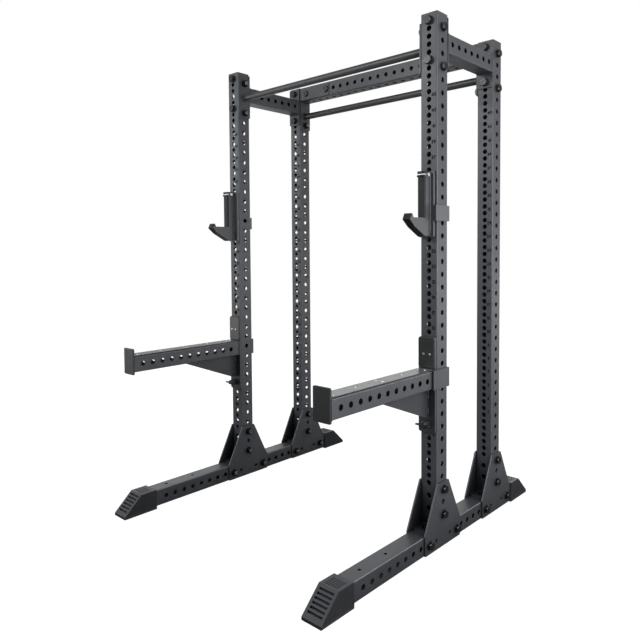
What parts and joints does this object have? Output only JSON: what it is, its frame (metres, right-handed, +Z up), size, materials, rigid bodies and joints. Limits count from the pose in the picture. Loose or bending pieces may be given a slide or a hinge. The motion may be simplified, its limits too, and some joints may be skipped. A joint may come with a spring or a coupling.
{
  "type": "power cage",
  "caption": "Square-tube power cage with perforated uprights, ribbed feet, gusset plates, pull-up bars, sliding J-hooks and spotter arms locked by spring pull pins",
  "frame": {"origin": "centre of the footprint on the floor, under the feet", "axes": "+X to the right-hand pair of uprights, -Y to the open front where the hooks and arms stand out, +Z up"},
  "size_m": [1.293, 1.478, 2.093],
  "materials": {
    "charcoal_coat": "satin textured powder coat",
    "bar_coat": "satin powder coat",
    "foot_rubber": "matte moulded",
    "cap_plastic": "matte moulded",
    "liner_plastic": "matte",
    "strip_plastic": "satin",
    "dark_fastener": "black oxide",
    "zinc_steel": "zinc plated",
    "black_steel": "satin black"
  },
  "bodies": {
    "rack": {"base_tube_left": "charcoal_coat", "base_tube_right": "charcoal_coat", "flat_washers": "dark_fastener", "foot_front_left": "foot_rubber", "foot_front_right": "foot_rubber", "foot_rear_left": "foot_rubber", "foot_rear_right": "foot_rubber", "gusset_front_left_inner": "charcoal_coat", "gusset_front_left_outer": "charcoal_coat", "gusset_front_right_inner": "charcoal_coat", "gusset_front_right_outer": "charcoal_coat", "gusset_rear_left_inner": "charcoal_coat", "gusset_rear_left_outer": "charcoal_coat", "gusset_rear_right_inner": "charcoal_coat", "gusset_rear_right_outer": "charcoal_coat", "hex_bolts": "dark_fastener", "hex_nuts": "dark_fastener", "liner_screws": "zinc_steel", "plunger_barrels": "black_steel", "plunger_springs": "zinc_steel", "pullup_bar": "bar_coat", "pullup_bar_flanges": "charcoal_coat", "rear_crossmember": "charcoal_coat", "rear_crossmember_flanges": "charcoal_coat", "rear_pullup_bar": "bar_coat", "side_crossmember_flanges": "charcoal_coat", "side_crossmember_left": "charcoal_coat", "side_crossmember_right": "charcoal_coat", "sign_plate": "charcoal_coat", "sign_plate_bolts": "dark_fastener", "spotter_arm_back_liner_left": "strip_plastic", "spotter_arm_back_liner_right": "strip_plastic", "spotter_arm_bracket_left": "charcoal_coat", "spotter_arm_bracket_right": "charcoal_coat", "spotter_arm_end_plate_left": "charcoal_coat", "spotter_arm_end_plate_right": "charcoal_coat", "spotter_arm_top_liner_left": "strip_plastic", "spotter_arm_top_liner_right": "strip_plastic", "spotter_arm_tube_left": "charcoal_coat", "spotter_arm_tube_right": "charcoal_coat", "upright_caps": "cap_plastic", "upright_foot_plates": "charcoal_coat", "upright_front_left": "charcoal_coat", "upright_front_right": "charcoal_coat", "upright_rear_left": "charcoal_coat", "upright_rear_right": "charcoal_coat"},
    "j_hook_right": {"j_hook_bracket_right": "charcoal_coat", "j_hook_body_right": "charcoal_coat", "j_hook_liner_right": "liner_plastic", "j_hook_lip_cover_right": "liner_plastic", "j_hook_back_pad_right": "liner_plastic", "j_hook_bolt_right": "zinc_steel"},
    "j_hook_left": {"j_hook_bracket_left": "charcoal_coat", "j_hook_body_left": "charcoal_coat", "j_hook_liner_left": "liner_plastic", "j_hook_lip_cover_left": "liner_plastic", "j_hook_back_pad_left": "liner_plastic", "j_hook_bolt_left": "zinc_steel"},
    "pull_pin_right": {"pull_pin_right": "black_steel"},
    "pull_pin_left": {"pull_pin_left": "black_steel"}
  },
  "joints": [
    {"name": "j_hook_right_slide", "type": "slide", "parent": "rack", "child": "j_hook_right", "axis": [1, 0, 0], "range_m": [0, 0.1]},
    {"name": "j_hook_left_slide", "type": "slide", "parent": "rack", "child": "j_hook_left", "axis": [-1, 0, 0], "range_m": [0, 0.1]},
    {"name": "pull_pin_right_slide", "type": "slide", "parent": "rack", "child": "pull_pin_right", "axis": [0, -1, 0], "range_m": [0, 0.012], "stiffness_N_per_m": 800, "springref_m": -0.012},
    {"name": "pull_pin_left_slide", "type": "slide", "parent": "rack", "child": "pull_pin_left", "axis": [0, -1, 0], "range_m": [0, 0.012], "stiffness_N_per_m": 800, "springref_m": -0.012}
  ]
}
